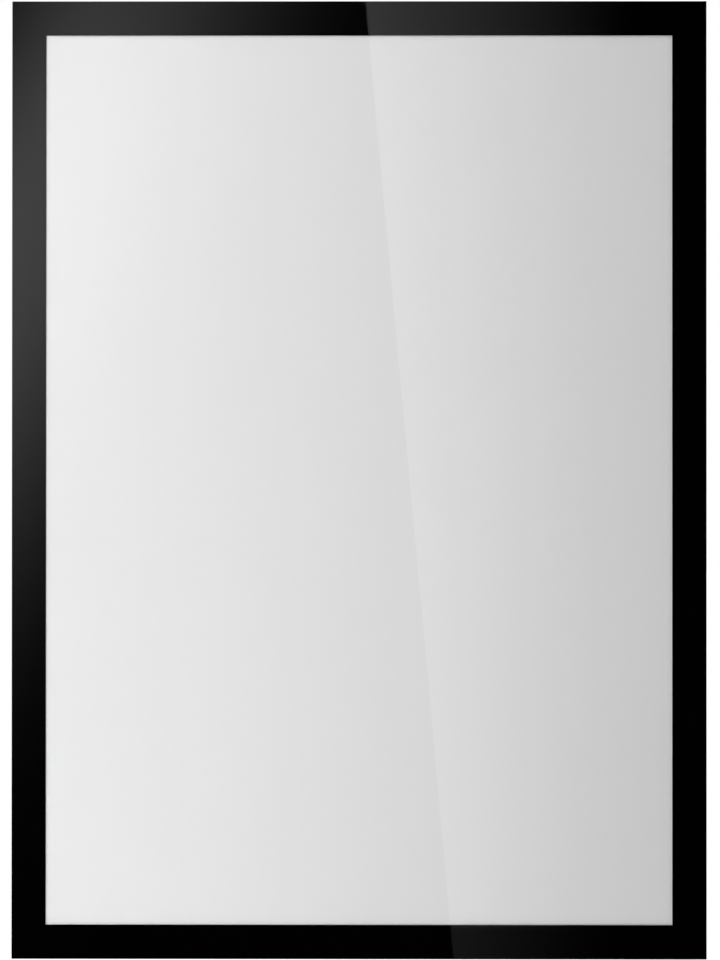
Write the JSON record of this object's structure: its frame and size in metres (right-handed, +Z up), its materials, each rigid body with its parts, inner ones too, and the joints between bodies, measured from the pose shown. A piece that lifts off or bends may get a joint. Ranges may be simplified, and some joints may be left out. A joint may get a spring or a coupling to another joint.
{
  "type": "self-adhesive window sign frame",
  "caption": "Flat black sign frame with a clear face that sticks to glass and opens like a book on a folded film hinge, held shut by flexible magnet strips.",
  "frame": {"origin": "the middle of the frame on the window glass, in the plane of the adhesive strips' back faces", "axes": "+Z up, +X to the reader's right, +Y into the glass; the face is read from -Y and the hinge is on the left, at -X"},
  "size_m": [0.325, 0.003, 0.448],
  "materials": {
    "clear_film": "gloss",
    "adhesive": "satin",
    "black_film": "satin",
    "hinge_film": "satin",
    "magnet_rubber": "matte",
    "sheet": "matte"
  },
  "bodies": {
    "back_leaf": {"adhesive_top": "adhesive", "adhesive_bottom": "adhesive", "adhesive_left": "adhesive", "adhesive_right": "adhesive", "back_film": "clear_film", "back_border": "black_film", "back_magnet_top": "magnet_rubber", "back_magnet_bottom": "magnet_rubber", "back_magnet_left": "magnet_rubber", "back_magnet_right": "magnet_rubber", "insert_sheet": "sheet", "hinge_film": "hinge_film"},
    "cover": {"cover_magnet_top": "magnet_rubber", "cover_magnet_bottom": "magnet_rubber", "cover_magnet_left": "magnet_rubber", "cover_magnet_right": "magnet_rubber", "cover_border": "black_film", "cover_film": "clear_film"}
  },
  "joints": [
    {"name": "cover_hinge", "type": "hinge", "parent": "back_leaf", "child": "cover", "pos_m": [-0.1625, -0.0017, 0], "axis": [0, 0, -1], "range_deg": [0, 180], "deforming": ["hinge_film"]}
  ]
}
